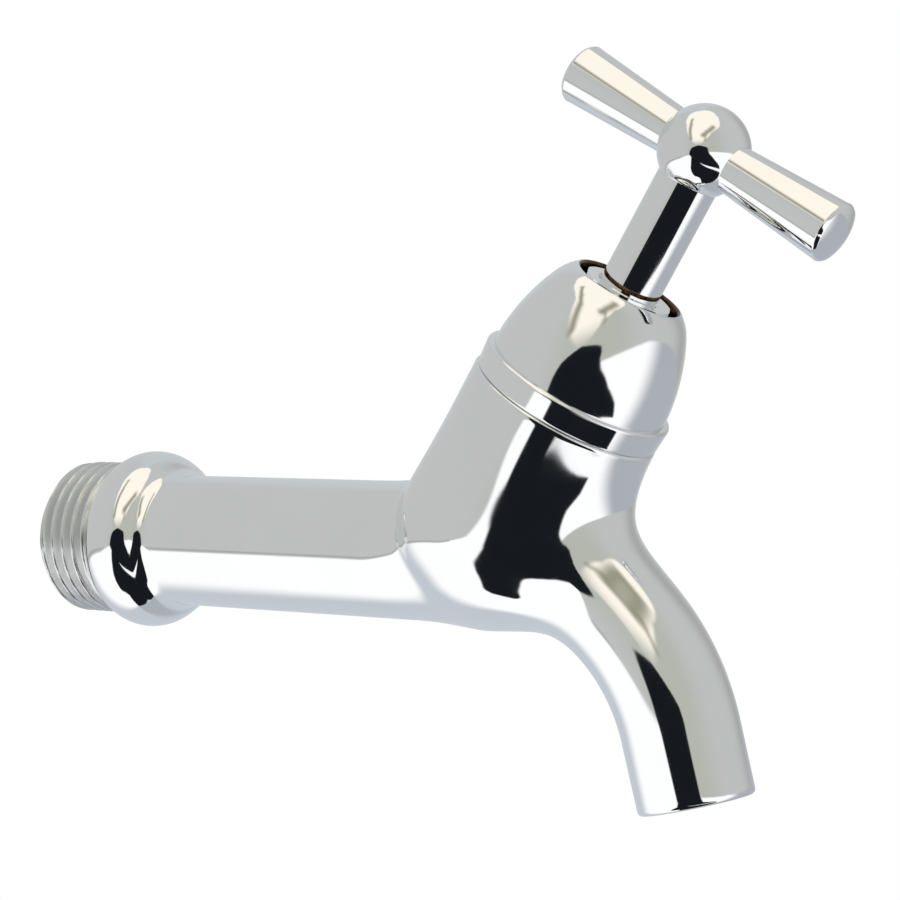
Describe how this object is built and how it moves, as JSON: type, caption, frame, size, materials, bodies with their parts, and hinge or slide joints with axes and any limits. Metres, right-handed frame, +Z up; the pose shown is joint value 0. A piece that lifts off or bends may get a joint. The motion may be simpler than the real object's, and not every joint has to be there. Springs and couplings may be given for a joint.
{
  "type": "wall bib tap",
  "caption": "Chrome wall bib tap: threaded tail with a bead, level barrel, tilted head with a domed cover, tee handle on a rising spindle, and a spout that curves down.",
  "frame": {"origin": "centre of the inlet thread's end face", "axes": "+X from the wall to the user along the tail, +Z up, +Y to the left of a user who faces the wall"},
  "size_m": [0.1168, 0.0256, 0.0921],
  "materials": {
    "chrome_body": "polished plating on a brass casting",
    "chrome_trim": "polished plating on brass",
    "brass": "turned, bare",
    "fibre": "vulcanised fibre",
    "packing": "sealing ring",
    "rubber": "moulded"
  },
  "bodies": {
    "tap": {"tap_body": "chrome_body", "bonnet_washer": "fibre", "bonnet": "brass", "gland_packing": "packing", "gland_washer": "brass", "gland_nut": "brass", "dome_cover": "chrome_trim"},
    "valve": {"jumper": "brass", "valve_washer": "rubber", "washer_nut": "brass"},
    "handle": {"spindle": "chrome_trim", "handle_ball": "chrome_trim", "arm_rear": "chrome_trim", "arm_front": "chrome_trim"}
  },
  "joints": [
    {"name": "valve_lift", "type": "slide", "parent": "tap", "child": "valve", "axis": [0.5299, 0, 0.848], "range_m": [0, 0.00375]},
    {"name": "handle_turn", "type": "hinge", "parent": "valve", "child": "handle", "pos_m": [0.068, 0, 0], "axis": [0.5299, 0, 0.848], "range_deg": [0, 540]}
  ],
  "couplings": [
    {"joint": "valve_lift", "follows": "handle_turn", "m_per_rad": 0.00039789}
  ]
}
